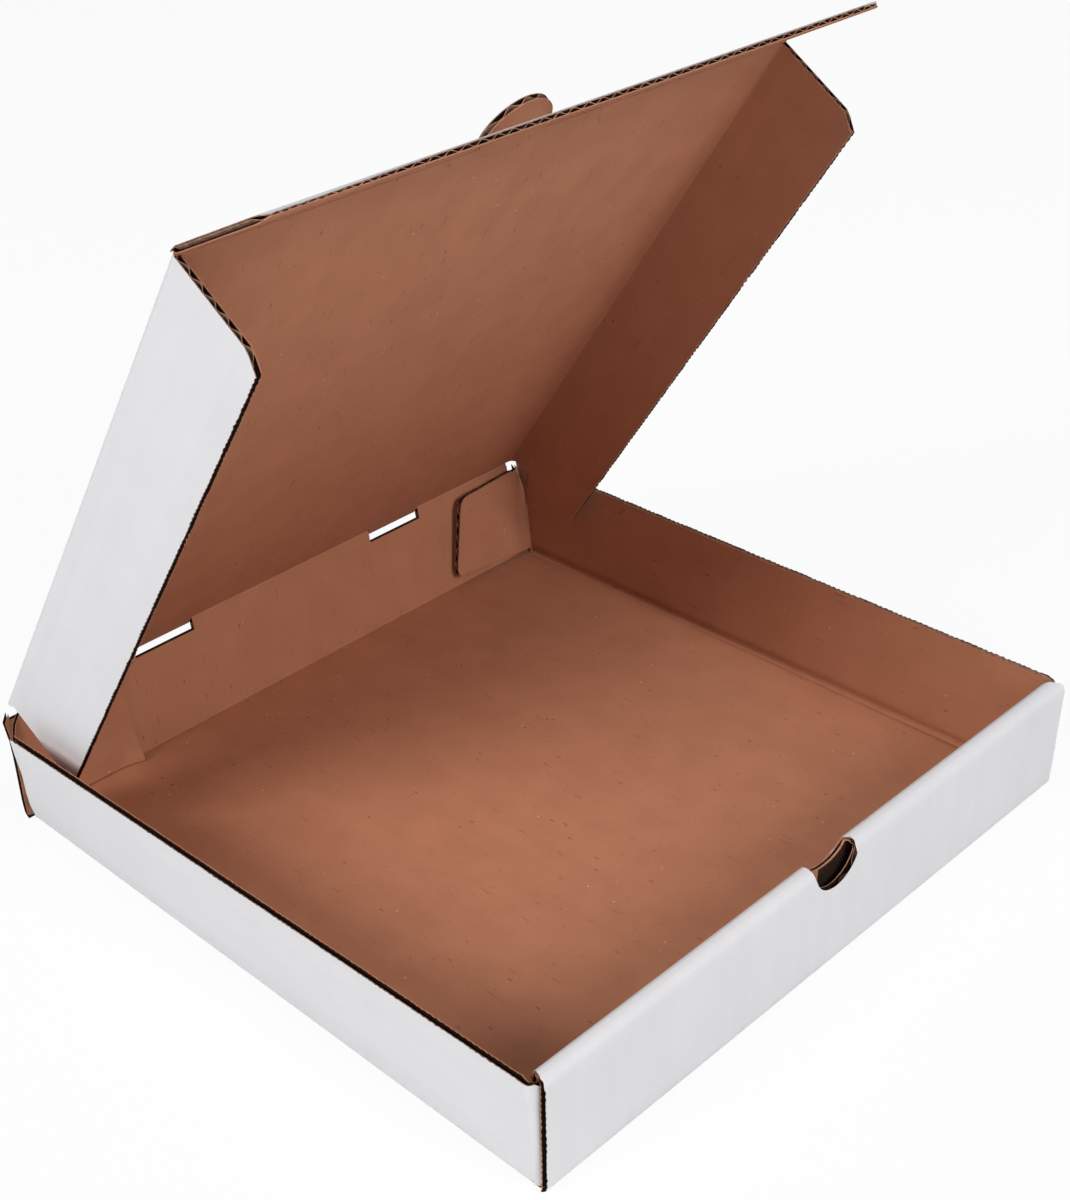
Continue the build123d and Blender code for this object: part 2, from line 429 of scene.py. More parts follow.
@dataclass
class Sheet:
    """One stretch of board between limits across and along its flutes.

    A point of the board's middle is place(a, b), where a is the length across the flutes and b the
    length along them. The papers lie half a thickness to either side along the normal there, less
    their own thickness, and the fluting swings between them as a sine of a.
    """

    place: Place
    across: Array
    along: Array
    low: Limit | None = None
    high: Limit | None = None
    left: Limit | None = None
    right: Limit | None = None
    nibble_left: Edge = Edge.CLEAN
    nibble_right: Edge = Edge.CLEAN
    nibble_share: Limit | None = None
    fluted: bool = True
    flute_gap: float = 2.8 * MM
    flute_back: float = 0.0
    paper: float = BOARD.paper
    outer_rim: Face = Face.RAW
    inner_skin: Face = Face.SKIN
    crush: Amount | None = None
    dent: Amount | None = None
    wave_along: Array | None = None

    def grid(self, across: Array, along: Array, seed: int) -> tuple[Array, Array]:
        """The two lengths on a grid, held inside the sheet's outline.

        Args:
            across: the samples across the flutes.
            along: the samples along them.
            seed: the paper's seed, or 0 for the fluting.

        Returns:
            Two grids, rows across by columns along.
        """
        a, b = np.meshgrid(across, along, indexing="ij")
        left = self.left(along) if self.left else np.full(along.shape, across[0])
        right = self.right(along) if self.right else np.full(along.shape, across[-1])
        a = np.maximum(a, (left + self.nibbled(along, self.nibble_left, seed))[None, :])
        a = np.minimum(a, (right - self.nibbled(along, self.nibble_right, seed))[None, :])
        back = 0.0 if seed else self.flute_back
        if self.low is not None:
            b = np.maximum(b, self.low(a) + back)
        if self.high is not None:
            b = np.minimum(b, self.high(a) - back)
        return a, b

    def lay(self, layers: Layers) -> None:
        """Adds the sheet's two papers and its fluting to a body's layers.

        The fluting's middle is a sine of the length across it, with the board's pitch.

        Args:
            layers: the body's layers.
        """
        board = BOARD
        papers = ((layers.outer, 1.0, OUTER_SEED, Face.SKIN, self.outer_rim),
                  (layers.inner, -1.0, INNER_SEED, self.inner_skin, Face.SKIN))
        for pile, sign, seed, skin, rim in papers:
            a, b = self.grid(self.across, self.along, seed)
            middle, normal = self.place(a, b)
            reach = board.half * self.squeeze(a, b)
            if sign < 0:
                reach = reach - self.dented(a, b)
            face = middle + normal * (sign * reach)[..., None]
            back = middle + normal * (sign * (reach - self.paper))[..., None]
            pile.slab(face, back, np.stack([a, b], -1), skin=skin, rim=rim)
        if not self.fluted:
            return
        waves = run(self.across[0], self.across[-1], board.pitch / board.steps_a_wave)
        along = self.along if self.wave_along is None else self.wave_along
        a, b = self.grid(waves, along, 0)
        middle, normal = self.place(a, b)
        dent = self.dented(a, b)
        room = self.squeeze(a, b) - dent / board.thickness
        swing = dent / 2 + board.wave * room * np.sin(2 * np.pi * a / board.pitch)
        over = middle + normal * (swing + board.medium / 2)[..., None]
        under = middle + normal * (swing - board.medium / 2)[..., None]
        layers.fluting.slab(over, under, np.stack([a, b], -1), under=Face.SKIN)

    def nibbled(self, along: Array, edge: Edge, seed: int) -> Array:
        """How far in a side is cut: by teeth in a paper, and by the flute gap in the fluting.

        Args:
            along: the lengths along the side.
            edge: which edge the side is.
            seed: the paper's seed, or 0 for the fluting.

        Returns:
            The depths of the cut.
        """
        if edge is Edge.CLEAN:
            return np.zeros(along.shape)
        share = 1.0 if self.nibble_share is None else self.nibble_share(along)
        return share * (CUT_EDGE.teeth(along, edge.value + seed) if seed else self.flute_gap)

    def squeeze(self, a: Array, b: Array) -> Array:
        """The share of its thickness that the board keeps, which is less along a crease."""
        return np.ones(a.shape) if self.crush is None else self.crush(a, b)

    def dented(self, a: Array, b: Array) -> Array:
        """How far the inner paper is pressed into the board, or less than 0 where it stands up."""
        return np.zeros(a.shape) if self.dent is None else self.dent(a, b)


@dataclass(frozen=True)
class Joints:
    """Where the CAD's two folds are, and how the lid and the flap stand in the photo."""

    opening: float = math.radians(55.4)
    bend: float = math.radians(31.1)

    @staticmethod
    def at(name: str) -> Array:
        """The (y, z) of a joint's axis, read from the frame."""
        found = next(j for j in frame["joints"] if j["name"] == name)
        return np.array(found["pos_m"][1:], float)

    @property
    def hinge(self) -> Array:
        """The (y, z) of the lid's hinge."""
        return self.at("lid_hinge")

    @property
    def fold(self) -> Array:
        """The (y, z) of the front flap's fold."""
        return self.at("front_flap_fold")

    @property
    def lid_way(self) -> Array:
        """The (y, z) direction from the hinge to the lid's front edge."""
        return np.array([-math.cos(self.opening), math.sin(self.opening)])

    @property
    def flap_way(self) -> Array:
        """The (y, z) direction from the fold to the flap's free edge."""
        turned = self.opening - self.bend
        return np.array([-math.cos(turned), math.sin(turned)])


JOINTS = Joints()


def right_of(way: Array) -> Array:
    """The (y, z) direction to the right of another, which is the board's outer side."""
    return np.array([way[1], -way[0]])


def line_normal(heading: Array) -> Array:
    """The normal of a line in (y, z), to the right of its heading."""
    return np.stack([np.zeros_like(heading), np.sin(heading), -np.cos(heading)], -1)


def half_ellipse(where: Array, centre: float, half_width: float) -> Array:
    """The height of a half ellipse of height 1 over its base, and -1 beside it."""
    share = 1 - ((where - centre) / half_width) ** 2
    return np.where(share > 0, np.sqrt(np.maximum(share, 0)), -1.0)


def crease_crush(places: Sequence[float], depth: float = 0.3, spread: float = 1.5 * MM) -> Amount:
    """A squeeze that thins the board along creases that run across the flutes.

    Args:
        places: the creases' places along the flutes.
        depth: the share of the thickness that is lost in the crease itself.
        spread: how wide the bell curve is.

    Returns:
        A function of a and b that is 1 less a bell curve round each crease.
    """

    def squeeze(_a: Array, b: Array) -> Array:
        """The share of its thickness that the board keeps at each point."""
        return 1 - depth * sum(bell(b - place, spread) for place in places)

    return squeeze


@dataclass(frozen=True)
class SideWall:
    """What a side wall has of its own: its leans at the front and back, and its back corner flap.

    The flap has a length and stands off the back wall by a gap, each at its foot and at its top,
    and its lower edge climbs towards its free end. The wall's back edge goes up as pairs of how far
    it is before the fold, and its height there, and a tongue may carry the wall on past the fold.
    The curl is how far forward the flap's lower free corner bends.
    """

    side: Side
    edge: Edge
    leans: Pair
    flap_low: float
    flap_high: float
    gap_low: float
    gap_high: float
    climb: float
    back_edge: tuple[Pair, ...]
    tongue: float = 0.0
    curl: float = 0.0
    knee: float = 13.0 * MM
    flute_gap: float = 2.8 * MM


@dataclass
class Tray:
    """The tray: one strip from the rolled-over front wall to the hinge, and two side walls."""

    width: float = 305.0 * MM
    depth: float = 308.0 * MM
    wall_height: float = 50.3 * MM
    back_lean: float = 8.2 * MM
    walls: tuple[SideWall, ...] = (
        SideWall(Side.LEFT, Edge.LEFT_WALL, leans=(3.6 * MM, 9.2 * MM), flap_low=55.0 * MM,
                 flap_high=55.0 * MM, gap_low=1.0 * MM, gap_high=0.3 * MM, climb=0.0, curl=3.0 * MM,
                 back_edge=((0.0, 8.2), (2.4, 16.4), (5.4, 28.3), (5.8, 35.7), (6.4, 42.9), (6.5, 50.5))),
        SideWall(Side.RIGHT, Edge.RIGHT_WALL, leans=(4.3 * MM, 4.3 * MM), flap_low=57.8 * MM,
                 flap_high=46.0 * MM, gap_low=1.5 * MM, gap_high=4.0 * MM, climb=5.5 * MM,
                 tongue=3.0 * MM, flute_gap=0.5 * MM, back_edge=((0.0, 27.0), (0.01, 50.5))),
    )
    crease_height: float = 49.3 * MM
    ridge_height: float = 50.7 * MM
    ridge_insets: Pair = (2.3 * MM, 5.0 * MM)
    front_slips: Pair = (1.1 * MM, 4.5 * MM)
    notch_centre: float = -0.2 * MM
    notch_half_width: float = 12.6 * MM
    outer_notch_depth: float = 11.9 * MM
    inner_notch_depth: float = 7.2 * MM
    # Where the inner panel's brown side starts to be painted near-black as painted shade, across the
    # notch.
    notch_painted_shade_from: float = -4.0 * MM
    rolled_rim: float = 0.85 * MM
    slot_width: float = 32.0 * MM
    slot_depth: float = 6.4 * MM
    slot_spacing: float = 137.5 * MM
    slot_shift: float = -1.25 * MM
    relief_width: float = 5.5 * MM
    relief_depth: float = 6.0 * MM
    ear_width: float = 2.0 * MM
    ear_drop: float = 3.2 * MM
    hinge_margin: float = 1.6 * MM
    hinge_end_gap: float = 2.0 * MM
    left_room: float = 2.0 * MM
    left_end: tuple[Pair, ...] = (
        (0.0, 2.0), (8.4, 1.7), (19.1, 0.8), (28.0, 0.1), (35.5, -0.2), (44.4, 0.4), (48.1, -0.5))
    back_end_share: float = 0.12
    patch_inset: float = 1.2 * MM
    patch_length: float = 2.9 * MM
    groove: float = 1.1 * MM
    groove_width: float = 1.9 * MM
    bead: float = 0.35 * MM
    bead_width: float = 0.9 * MM
    flute_back: float = 1.8 * MM
    dip_before: float = 2.2 * MM
    dip_after: float = 1.5 * MM
    dip_depth: float = 1.5 * MM
    front_corner_length: float = 47.5 * MM
    corner_flap_bottom: float = 4.0 * MM
    back_corner_top: float = 48.7 * MM
    back_corner_curve: float = 12.2 * MM
    corner_radius: float = 4.5 * MM
    curl_reach: float = 10.0 * MM
    curl_bottom: float = 3.0 * MM
    curl_power: float = 1.5
    fine: float = 0.8 * MM
    fold_reach: float = 5.0 * MM
    across_step: float = 6.0 * MM
    height_step: float = 4.0 * MM
    floor_step: float = 25.0 * MM
    foot_step: float = 12.0 * MM
    foot_rows: int = 7
    tongue_step: float = 0.5 * MM
    panel_wave_step: float = 8.0 * MM
    strip_wave_step: float = 40.0 * MM
    wall_wave_step: float = 3.0 * MM
    height_samples: int = 4000
    layers: Layers = field(default_factory=Layers)

    @property
    def half_width(self) -> float:
        """Half of the tray's width over its floor."""
        return self.width / 2

    @property
    def foot_radius(self) -> float:
        """The outer radius of the fold between the floor and a side wall."""
        return BOARD.fold_radius + BOARD.half

    def strip_line(self) -> BentLine:
        """The strip's middle line in (y, z), from the inner front panel's foot to the hinge.

        Returns:
            The line, which turns at the ridge, the front wall's crease and the floor's two folds.
        """
        board = BOARD
        front = -self.depth / 2
        outer = front + board.half
        inner = front + 3 * board.thickness + 2 * board.layer_gap - board.half
        back = self.depth / 2 - board.half + self.back_lean * board.half / self.wall_height
        wall_way = JOINTS.hinge - np.array([back, board.half])
        top = JOINTS.hinge - wall_way / np.linalg.norm(wall_way) * self.hinge_margin
        corners = [
            (inner, board.thickness + board.layer_gap),
            (inner, self.ridge_height - board.half),
            (outer, self.crease_height - board.half),
            (outer, board.half),
            (back, board.half),
            (float(top[0]), float(top[1])),
        ]
        return BentLine(corners, board.fold_radius)

    def length_at_height(self, line: BentLine, height: float, low: float, high: float) -> float:
        """The length along the strip where it is at a height.

        Args:
            line: the strip's line.
            height: the height to find.
            low: the first length to look at.
            high: the last length to look at.

        Returns:
            The length there.
        """
        places = np.linspace(low, high, self.height_samples)
        heights = line.at(places)[1]
        order = np.argsort(heights)
        return float(np.interp(height, heights[order], places[order]))

    def lay_strip(self) -> None:
        """Lays the strip: the inner front panel in two sheets, and all the rest in one.

        They meet in the middle of the front wall's top. The inner panel is parted inside the thumb notch,
        because its brown side is in the dark to the right of that, and there it is painted near-black as
        painted shade. The strip's outer paper has painted shade on its cut rims.
        """
        board = BOARD
        line = self.strip_line()
        bends, end = line.bends, line.total
        ridge, crease, front_fold, back_fold = bends.mean(1)
        middle = (bends[0, -1] + bends[1, 0]) / 2
        floor = (bends[2, -1], bends[3, 0])
        patches = (floor[0] + self.patch_length, floor[1] - self.patch_length)
        floor_half = self.half_width - self.foot_radius

        def place(a: Array, b: Array) -> tuple[Array, Array]:
            """A point of the strip: a along X, and b along the bent line in (y, z).

            The front wall slips along X in proportion to its height.

            Args:
                a: the lengths across the flutes.
                b: the lengths along them.

            Returns:
                The points, and the normals there.
            """
            y, z, heading = line.at(b)
            slip = np.interp(a, [-self.half_width, self.half_width], self.front_slips)
            slip = np.where(b < floor[0], slip * z / self.crease_height, 0.0)
            return np.stack([a + slip, y, z], -1), line_normal(heading)

        def half_at(b: Array, side: Side) -> Array:
            """The strip's reach to one side: less at the ridge and along the floor.

            Args:
                b: the lengths along the strip.
                side: which side it is.

            Returns:
                The distances from the middle.
            """
            inset = self.ridge_insets[side is Side.RIGHT]
            half = np.interp(b, [ridge, crease], [self.half_width - inset, self.half_width])
            half = np.where((b > floor[0]) & (b < floor[1]), self.half_width - self.patch_inset, half)
            return np.where((b > patches[0]) & (b < patches[1]), floor_half, half)

        def left_at(b: Array) -> Array:
            """The strip's left side, where the back wall's end stands out at its foot."""
            out = np.interp(line.at(b)[1], *columns(self.left_end))
            return -half_at(b, Side.LEFT) - np.where(b > floor[1], out, 0.0)

        def right_at(b: Array) -> Array:
            """The strip's right side."""
            return half_at(b, Side.RIGHT)

        def dent(a: Array, b: Array) -> Array:
            """The inner paper's groove along the side folds, and its bead along the back fold.

            Args:
                a: the places along X.
                b: the lengths along the strip.

            Returns:
                The depths.
            """
            on_floor = (b >= floor[0]) & (b <= floor[1])
            groove = self.groove * bell(np.abs(a) - floor_half, self.groove_width)
            return np.where(on_floor, groove, 0.0) - self.bead * bell(b - back_fold, self.bead_width)

        def nibble(b: Array) -> Array:
            """1 at the front wall's cut ends, 0 at the folds, and little at the back wall's ends."""
            return np.where(b <= floor[0], 1.0, np.where(b < floor[1], 0.0, self.back_end_share))

        def moon(a: Array) -> Array:
            """The thumb notch's depth at a, as a share, or -1 beside it."""
            return half_ellipse(a, self.notch_centre, self.notch_half_width)

        inner_foot = board.thickness + board.layer_gap
        crease_end = float(bends[1, -1])
        crease_end_height = float(line.at(np.array([crease_end]))[1][0])

        def inner_high(a: Array) -> Array:
            """Where the inner part ends: at the middle of the top, or at the notch's edge."""
            cut = self.ridge_height - self.inner_notch_depth * moon(a) - inner_foot
            return np.where(moon(a) >= 0, cut, middle)

        def outer_low(a: Array) -> Array:
            """Where the outer part starts: at the middle of the top, or at the notch's edge."""
            cut = crease_end + crease_end_height - (self.crease_height - self.outer_notch_depth * moon(a))
            return np.where(moon(a) >= 0, np.maximum(cut, middle), middle)

        def wall_length(height: float) -> float:
            """The length along the back wall at a height."""
            return self.length_at_height(line, height, float(bends[3, -1]), end)

        hinge_height = float(JOINTS.hinge[1])
        slot_low = wall_length(hinge_height - self.slot_depth)
        relief_low = wall_length(hinge_height - self.relief_depth)
        ear_lengths = [wall_length(hinge_height - drops * self.ear_drop) for drops in (1, 2)]
        ear = self.half_width - self.ear_width
        relief = ear - self.relief_width

        def outer_high(a: Array) -> Array:
            """The back wall's top: the hinge, less the slots, the end cut-outs and the ears.

            Args:
                a: the places along X.

            Returns:
                The lengths along the strip where it ends.
            """
            top = np.full(a.shape, end)
            for middle_x in self.slot_middles():
                top = np.where(np.abs(a - middle_x) < self.slot_width / 2, slot_low, top)
            top = np.where(np.abs(a) > relief, relief_low, top)
            sloped = np.interp(np.abs(a), [ear, self.half_width], ear_lengths)
            return np.where(np.abs(a) > ear, sloped, top)

        notch = (self.notch_centre - self.notch_half_width, self.notch_centre + self.notch_half_width)
        jumps = [*notch, *self.beside_slots(self.slot_width / 2), -relief, -ear, relief, ear]
        sides = [(s * floor_half - self.fold_reach, s * floor_half + self.fold_reach) for s in (-1, 1)]
        walls = line.stations(middle, floor[0], self.fine)
        ground = with_steps(line.stations(floor[0], floor[1], self.floor_step), patches)
        back = line.stations(floor[1], end, self.fine)
        along = with_steps(np.concatenate([walls, ground[1:-1], back]), floor)
        inner_along = line.stations(0, middle, self.fine)
        across = with_steps(run(-self.half_width, self.half_width, self.across_step), notch, [notch])
        dark = float(across[np.argmin(np.abs(across - self.notch_painted_shade_from))])
        shared = {"high": inner_high, "crush": crease_crush([ridge]), "flute_back": self.flute_back,
                  "paper": self.rolled_rim, "wave_along": line.stations(0, middle, self.panel_wave_step)}
        Sheet(place, across[across <= dark], inner_along, left=lambda b: -half_at(b, Side.LEFT),
              nibble_left=Edge.INNER_PANEL_LEFT, **shared).lay(self.layers)
        # Right of the notch the inner panel's brown side is painted near-black: painted shade of the
        # wall's cavity.
        Sheet(place, across[across >= dark], inner_along, right=right_at,
              nibble_right=Edge.INNER_PANEL_RIGHT, inner_skin=Face.PAINTED_SHADE, **shared).lay(self.layers)
        across = run(-self.half_width - self.left_room, self.half_width, self.across_step)
        # The outer paper's cut rims are painted near-black: painted shade of the open flutes behind them.
        Sheet(place, with_steps(across, jumps, [notch, *sides]), along,
              low=outer_low, high=outer_high, left=left_at, right=right_at,
              nibble_left=Edge.STRIP_LEFT, nibble_right=Edge.STRIP_RIGHT, nibble_share=nibble,
              dent=dent, flute_back=self.flute_back, outer_rim=Face.PAINTED_SHADE,
              crush=crease_crush([crease, front_fold, back_fold]),
              wave_along=with_steps(line.stations(middle, end, self.strip_wave_step), floor),
              ).lay(self.layers)

    def slot_middles(self) -> list[float]:
        """The places along X of the two hinge slots."""
        return [self.slot_shift + s * self.slot_spacing / 2 for s in (-1, 1)]

    def beside_slots(self, reach: float) -> list[float]:
        """The places along X that are a reach away from the middle of each hinge slot."""
        return [middle + s * reach for middle in self.slot_middles() for s in (-1, 1)]

    def side_lines(self, wall: SideWall) -> tuple[BentLine, BentLine]:
        """A side wall's middle line in (x, y) at the floor and at the wall's top.

        Each runs from the front corner flap's end, round the wall, to the back flap's end. The
        wall keeps its places along Y up to the knee, and from there it follows the leaning back.

        Args:
            wall: the side wall's own sizes.

        Returns:
            The lower line and the upper one, with the same rows in their tables.
        """
        board = BOARD
        inset = board.thickness + board.layer_gap + board.half
        front_y = -self.depth / 2 + inset
        knee_y = self.depth / 2 - wall.knee
        x = self.half_width - board.half
        foot = (0.0, wall.flap_low, wall.gap_low)
        top = (1.0, wall.flap_high, wall.gap_high)
        lines = []
        for share, length, gap in (foot, top):
            back_y = self.depth / 2 - inset + self.back_lean * share
            knee_share = (knee_y - front_y) / (back_y - front_y)
            knee_lean = wall.leans[0] + (wall.leans[1] - wall.leans[0]) * knee_share
            corners = [
                (self.half_width - self.front_corner_length, front_y),
                (x + wall.leans[0] * share, front_y),
                (x + knee_lean * share, knee_y),
                (x + wall.leans[1] * share, back_y),
                (self.half_width - length, back_y - gap),
            ]
            lines.append(BentLine([(wall.side.value * px, py) for px, py in corners], board.fold_radius))
        return lines[0], lines[1]

    def lay_side(self, wall: SideWall) -> None:
        """Lays one side wall with its two corner flaps, and the fold at its foot.

        Args:
            wall: the side wall's own sizes.
        """
        low, high = self.side_lines(wall)
        arcs = low.bends
        front_arc, back_arc = (arcs[0, 0], arcs[0, -1]), (arcs[-1, 0], arcs[-1, -1])
        foot = self.foot_radius
        flip = float(wall.side.value)

        def place(a: Array, b: Array) -> tuple[Array, Array]:
            """A point of the wall: height a on the straight line between the two bent lines.

            Args:
                a: the heights, across the flutes.
                b: the lengths along the lower line.

            Returns:
                The points, and the normals there.
            """
            share = a / self.wall_height
            x0, y0, heading = low.at(b)
            x1 = np.interp(b, low.length, high.points[:, 0])
            y1 = np.interp(b, low.length, high.points[:, 1])
            rise = np.stack([x1 - x0, y1 - y0, np.full(a.shape, self.wall_height)], -1)
            ahead = np.stack([np.cos(heading), np.sin(heading), np.zeros_like(a)], -1)
            normal = flip * np.cross(ahead, rise)
            normal /= np.linalg.norm(normal, axis=-1, keepdims=True)
            from_corner = np.hypot(low.total - b, a - self.corner_flap_bottom)
            bent = np.clip(1 - from_corner / self.curl_reach, 0.0, 1.0) ** self.curl_power
            curl = wall.curl * bent
            point = np.stack([x0 + (x1 - x0) * share, y0 + (y1 - y0) * share - curl, a], -1)
            return point, normal

        front_top = self.crease_height - BOARD.thickness - BOARD.layer_gap
        shoulder = back_arc[1] + self.back_corner_curve
        edge_from_fold, edge_height = columns(wall.back_edge)
        dip_places = [front_arc[0] - self.dip_before, front_arc[0], front_arc[1] + self.dip_after]
        dip_heights = [front_top, self.wall_height - self.dip_depth, self.wall_height]

        def top(b: Array) -> Array:
            """The wall's upper edge, which dips towards the front corner flap.

            It is level, then goes down the slanting back edge to the fold, and up the back flap's
            elliptic shoulder to its level top.

            Args:
                b: the lengths along the wall.

            Returns:
                The heights.
            """
            slant = np.interp(back_arc[0] - b, edge_from_fold, edge_height)
            share = np.clip((shoulder - b) / self.back_corner_curve, 0.0, 1.0)
            fold_top = float(edge_height[0])
            flap = fold_top + (self.back_corner_top - fold_top) * np.sqrt(1 - share**2)
            height = np.minimum(slant, np.interp(b, dip_places, dip_heights))
            height = np.where(b > back_arc[0], fold_top, height)
            return np.where(b > back_arc[1], np.minimum(flap, self.rounded_end(b, low, True)), height)

        def bottom(b: Array) -> Array:
            """The lower edge: the fold at the foot, near the floor at the corners, and the flaps'.

            Args:
                b: the lengths along the wall.

            Returns:
                The heights.
            """
            climb = wall.climb * np.clip((b - back_arc[1]) / (low.total - back_arc[1]), 0.0, 1.0)
            square = (b > back_arc[1]) & (wall.curl > 0)
            flap = climb + np.where(square, self.curl_bottom, self.rounded_end(b, low, False))
            height = np.where((b < front_arc[0]) | (b > back_arc[1]), flap, BOARD.half)
            return np.where((b >= front_arc[1]) & (b <= back_arc[0]), foot, height)

        def dent(a: Array, b: Array) -> Array:
            """The inner paper's groove along the fold at the foot."""
            groove = self.groove * bell(a - foot, self.groove_width)
            return np.where((b > front_arc[1]) & (b < back_arc[0]), groove, 0.0)

        across = with_steps(run(BOARD.half, self.wall_height, self.height_step), [],
                            [(foot, foot + self.fold_reach)])
        steps = [*front_arc, *back_arc]
        along = with_steps(low.stations(0, low.total, self.fine), steps)
        waves = with_steps(low.stations(0, low.total, self.wall_wave_step), steps)
        crush = crease_crush([float(np.mean(front_arc)), float(np.mean(back_arc))])
        Sheet(place, across, along, left=bottom, right=top, nibble_right=wall.edge,
              flute_gap=wall.flute_gap, dent=dent, crush=crush, wave_along=waves).lay(self.layers)
        self.lay_foot(wall.side, wall.leans, low, (front_arc[1], back_arc[0]))
        if wall.tongue:
            self.lay_tongue(place, wall, float(back_arc[0]))

    def lay_tongue(self, place: Place, wall: SideWall, fold: float) -> None:
        """Lays the strip that carries a side wall straight on past its back fold, above its flap.

        Args:
            place: the wall's own places.
            wall: the side wall's own sizes.
            fold: the length along the wall where the fold starts.
        """
        step = self.tongue_step
        near = step / 10

        def straight(a: Array, b: Array) -> tuple[Array, Array]:
            """A point past the fold, on the line through two of the wall's points before it.

            Args:
                a: the heights, across the flutes.
                b: the lengths along the wall.

            Returns:
                The points, and the normals there.
            """
            last, normal = place(a, np.full(b.shape, fold - near))
            before, _ = place(a, np.full(b.shape, fold - step))
            way = (last - before) / (step - near)
            return last + way * (b - fold)[..., None], normal

        across = run(wall.back_edge[0][1] * MM, self.wall_height, self.height_step)
        Sheet(straight, across, run(fold, fold + wall.tongue, step),
              nibble_right=wall.edge).lay(self.layers)

    def rounded_end(self, b: Array, low: BentLine, upper: bool) -> Array:
        """The height limit that rounds a corner flap's free end with a quarter circle.

        Args:
            b: the lengths along the wall.
            low: the wall's lower line, which ends where the flaps do.
            upper: whether it is the upper limit, or else the lower one.

        Returns:
            The heights.
        """
        radius = self.corner_radius
        from_end = np.minimum(b, low.total - b)
        inward = np.clip(radius - from_end, 0.0, radius)
        lift = radius - np.sqrt(np.maximum(radius**2 - inward**2, 0.0))
        if upper:
            return self.back_corner_top - lift
        return self.corner_flap_bottom + lift

    def lay_foot(self, side: Side, leans: Pair, low: BentLine, reach: Pair) -> None:
        """Lays the quarter round between the floor and a side wall, which leans out a little.

        Args:
            side: which side it is on.
            leans: how far the wall's top leans out at the front and at the back.
            low: the wall's lower line.
            reach: the two lengths along it that the fold lies between.
        """
        radius = BOARD.fold_radius
        floor_half = self.half_width - self.foot_radius

        def place(a: Array, b: Array) -> tuple[Array, Array]:
            """A point of the quarter round: a along its arc, and b along the wall.

            Args:
                a: the lengths along the arc.
                b: the lengths along the wall.

            Returns:
                The points, and the normals there.
            """
            angle = a / radius
            y = low.at(b)[1]
            lean = np.interp(y, [-self.depth / 2, self.depth / 2], leans)
            out = lean * self.foot_radius / self.wall_height * angle / (math.pi / 2)
            x = side.value * (floor_half + radius * np.sin(angle) + out)
            z = BOARD.half + radius * (1 - np.cos(angle))
            normal = np.stack([side.value * np.sin(angle), np.zeros_like(a), -np.cos(angle)], -1)
            return np.stack([x, y, z], -1), normal

        across = np.linspace(0.0, radius * math.pi / 2, self.foot_rows)
        along = low.stations(reach[0], reach[1], self.foot_step)
        Sheet(place, across, along, fluted=False,
              dent=lambda a, b: np.full(a.shape, self.groove)).lay(self.layers)

    def build(self) -> Layers:
        """Lays the whole tray.

        Returns:
            The tray's layers.
        """
        self.lay_strip()
        for wall in self.walls:
            self.lay_side(wall)
        return self.layers


